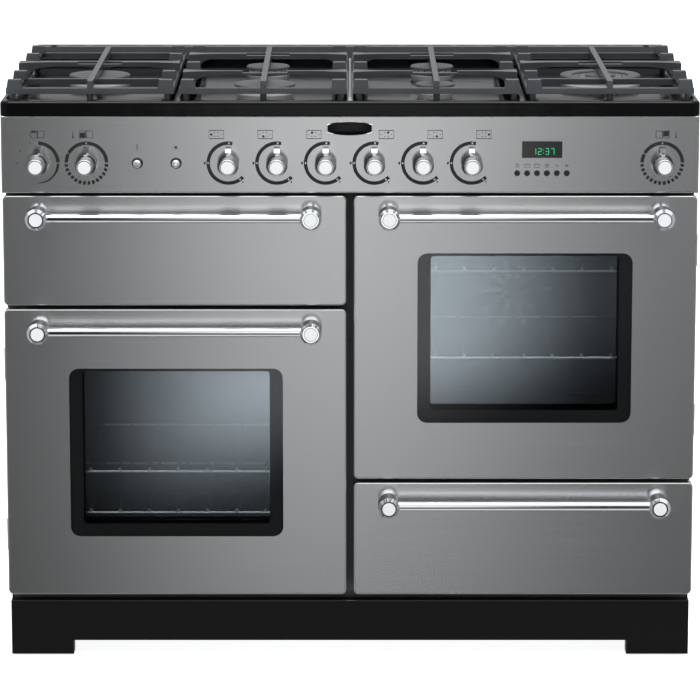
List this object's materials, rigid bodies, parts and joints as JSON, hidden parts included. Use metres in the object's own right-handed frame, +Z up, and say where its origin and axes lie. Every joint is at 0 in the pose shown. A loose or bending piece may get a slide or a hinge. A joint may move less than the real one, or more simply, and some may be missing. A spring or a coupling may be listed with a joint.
{
  "type": "gas range cooker",
  "caption": "Free-standing range cooker: gas hob with cast pan supports over a drop-down grill, side-hinged window ovens and a storage drawer, in brushed steel with chrome bar handles.",
  "frame": {"origin": "on the floor, under the middle of the cooker's bounding box", "axes": "+X to the right of someone facing the doors, -Y out of the doors, +Z up"},
  "size_m": [1.103, 0.652, 0.933],
  "materials": {
    "stainless": "satin, brushed from side to side",
    "chrome": "polished",
    "hob_enamel": "gloss vitreous enamel",
    "hob_trim": "satin enamel",
    "cast_iron": "matt enamel",
    "burner_alloy": "die cast",
    "door_glass": "tinted, clear centre",
    "clock_glass": "smoked",
    "key_plastic": "satin",
    "oven_enamel": "vitreous enamel",
    "black_paint": "satin",
    "zinc_sheet": "galvanised",
    "wire_chrome": "plated wire",
    "element_steel": "heat tinted",
    "door_seal": "woven",
    "foot_steel": "zinc plated",
    "gas_gear": "as made"
  },
  "bodies": {
    "chassis": {"control_panel": "stainless", "hotplate": "hob_enamel", "burner_caps": "hob_enamel", "flue_trim": "hob_trim", "left_pan_support": "cast_iron", "mid_left_pan_support": "cast_iron", "mid_right_pan_support": "cast_iron", "right_pan_support": "cast_iron", "burner_heads": "burner_alloy", "burner_bases": "burner_alloy", "clock_window": "clock_glass", "left_oven_liner": "oven_enamel", "right_oven_liner": "oven_enamel", "grill_liner": "oven_enamel", "grill_pan": "oven_enamel", "fan_cover": "oven_enamel", "front_frame": "black_paint", "plinth": "black_paint", "side_panels": "black_paint", "back_panel": "zinc_sheet", "base_panel": "zinc_sheet", "drawer_runners": "zinc_sheet", "oven_wirework": "wire_chrome", "heating_elements": "element_steel", "oven_seals": "door_seal", "levelling_feet": "foot_steel", "door_hinges": "foot_steel", "control_gear": "gas_gear"},
    "left_oven_door": {"left_oven_door_panel": "stainless", "left_oven_door_liner": "oven_enamel", "left_oven_door_glass": "door_glass", "left_oven_door_handle": "chrome"},
    "right_oven_door": {"right_oven_door_panel": "stainless", "right_oven_door_liner": "oven_enamel", "right_oven_door_glass": "door_glass", "right_oven_door_handle": "chrome"},
    "grill_door": {"grill_door_panel": "stainless", "grill_door_liner": "oven_enamel", "grill_door_handle": "chrome"},
    "storage_drawer": {"drawer_front_panel": "stainless", "drawer_box": "zinc_sheet", "drawer_handle": "chrome"},
    "grill_knob": {"grill_knob": "chrome"},
    "left_oven_knob": {"left_oven_knob": "chrome"},
    "hob_knob_1": {"hob_knob_1": "chrome"},
    "hob_knob_2": {"hob_knob_2": "chrome"},
    "hob_knob_3": {"hob_knob_3": "chrome"},
    "hob_knob_4": {"hob_knob_4": "chrome"},
    "hob_knob_5": {"hob_knob_5": "chrome"},
    "hob_knob_6": {"hob_knob_6": "chrome"},
    "right_oven_knob": {"right_oven_knob": "chrome"},
    "ignition_button": {"ignition_button": "chrome"},
    "light_button": {"light_button": "chrome"},
    "clock_button_1": {"clock_button_1": "key_plastic"},
    "clock_button_2": {"clock_button_2": "key_plastic"},
    "clock_button_3": {"clock_button_3": "key_plastic"},
    "clock_button_4": {"clock_button_4": "key_plastic"},
    "clock_button_5": {"clock_button_5": "key_plastic"},
    "clock_button_6": {"clock_button_6": "key_plastic"},
    "oven_fan": {"oven_fan": "element_steel"}
  },
  "joints": [
    {"name": "left_oven_door_swing", "type": "hinge", "parent": "chassis", "child": "left_oven_door", "pos_m": [-0.5465, -0.24475, 0.34], "axis": [0, 0, -1], "range_deg": [0, 100]},
    {"name": "right_oven_door_swing", "type": "hinge", "parent": "chassis", "child": "right_oven_door", "pos_m": [0.5465, -0.24475, 0.526], "axis": [0, 0, 1], "range_deg": [0, 100]},
    {"name": "grill_door_drop", "type": "hinge", "parent": "chassis", "child": "grill_door", "pos_m": [-0.27675, -0.266, 0.586], "axis": [1, 0, 0], "range_deg": [0, 90]},
    {"name": "drawer_slide", "type": "slide", "parent": "chassis", "child": "storage_drawer", "axis": [0, -1, 0], "range_m": [0, 0.38]},
    {"name": "oven_fan_spin", "type": "hinge", "parent": "chassis", "child": "oven_fan", "pos_m": [0.27675, 0.18, 0.526], "axis": [0, 1, 0], "continuous": true},
    {"name": "grill_knob_turn", "type": "hinge", "parent": "chassis", "child": "grill_knob", "pos_m": [-0.491, -0.274, 0.807], "axis": [0, 1, 0], "range_deg": [-170, 170]},
    {"name": "left_oven_knob_turn", "type": "hinge", "parent": "chassis", "child": "left_oven_knob", "pos_m": [-0.4145, -0.274, 0.807], "axis": [0, 1, 0], "range_deg": [0, 290]},
    {"name": "hob_knob_1_turn", "type": "hinge", "parent": "chassis", "child": "hob_knob_1", "pos_m": [-0.19125, -0.274, 0.807], "axis": [0, -1, 0], "range_deg": [0, 225]},
    {"name": "hob_knob_2_turn", "type": "hinge", "parent": "chassis", "child": "hob_knob_2", "pos_m": [-0.11475, -0.274, 0.807], "axis": [0, -1, 0], "range_deg": [0, 225]},
    {"name": "hob_knob_3_turn", "type": "hinge", "parent": "chassis", "child": "hob_knob_3", "pos_m": [-0.03825, -0.274, 0.807], "axis": [0, -1, 0], "range_deg": [0, 225]},
    {"name": "hob_knob_4_turn", "type": "hinge", "parent": "chassis", "child": "hob_knob_4", "pos_m": [0.03825, -0.274, 0.807], "axis": [0, -1, 0], "range_deg": [0, 225]},
    {"name": "hob_knob_5_turn", "type": "hinge", "parent": "chassis", "child": "hob_knob_5", "pos_m": [0.11475, -0.274, 0.807], "axis": [0, -1, 0], "range_deg": [0, 225]},
    {"name": "hob_knob_6_turn", "type": "hinge", "parent": "chassis", "child": "hob_knob_6", "pos_m": [0.19125, -0.274, 0.807], "axis": [0, -1, 0], "range_deg": [0, 225]},
    {"name": "right_oven_knob_turn", "type": "hinge", "parent": "chassis", "child": "right_oven_knob", "pos_m": [0.491, -0.274, 0.807], "axis": [0, 1, 0], "range_deg": [0, 290]},
    {"name": "ignition_button_push", "type": "slide", "parent": "chassis", "child": "ignition_button", "axis": [0, 1, 0], "range_m": [0, 0.003], "stiffness_N_per_m": 600},
    {"name": "light_button_push", "type": "slide", "parent": "chassis", "child": "light_button", "axis": [0, 1, 0], "range_m": [0, 0.003], "stiffness_N_per_m": 600},
    {"name": "clock_button_1_push", "type": "slide", "parent": "chassis", "child": "clock_button_1", "axis": [0, 1, 0], "range_m": [0, 0.001], "stiffness_N_per_m": 600},
    {"name": "clock_button_2_push", "type": "slide", "parent": "chassis", "child": "clock_button_2", "axis": [0, 1, 0], "range_m": [0, 0.001], "stiffness_N_per_m": 600},
    {"name": "clock_button_3_push", "type": "slide", "parent": "chassis", "child": "clock_button_3", "axis": [0, 1, 0], "range_m": [0, 0.001], "stiffness_N_per_m": 600},
    {"name": "clock_button_4_push", "type": "slide", "parent": "chassis", "child": "clock_button_4", "axis": [0, 1, 0], "range_m": [0, 0.001], "stiffness_N_per_m": 600},
    {"name": "clock_button_5_push", "type": "slide", "parent": "chassis", "child": "clock_button_5", "axis": [0, 1, 0], "range_m": [0, 0.001], "stiffness_N_per_m": 600},
    {"name": "clock_button_6_push", "type": "slide", "parent": "chassis", "child": "clock_button_6", "axis": [0, 1, 0], "range_m": [0, 0.001], "stiffness_N_per_m": 600}
  ]
}
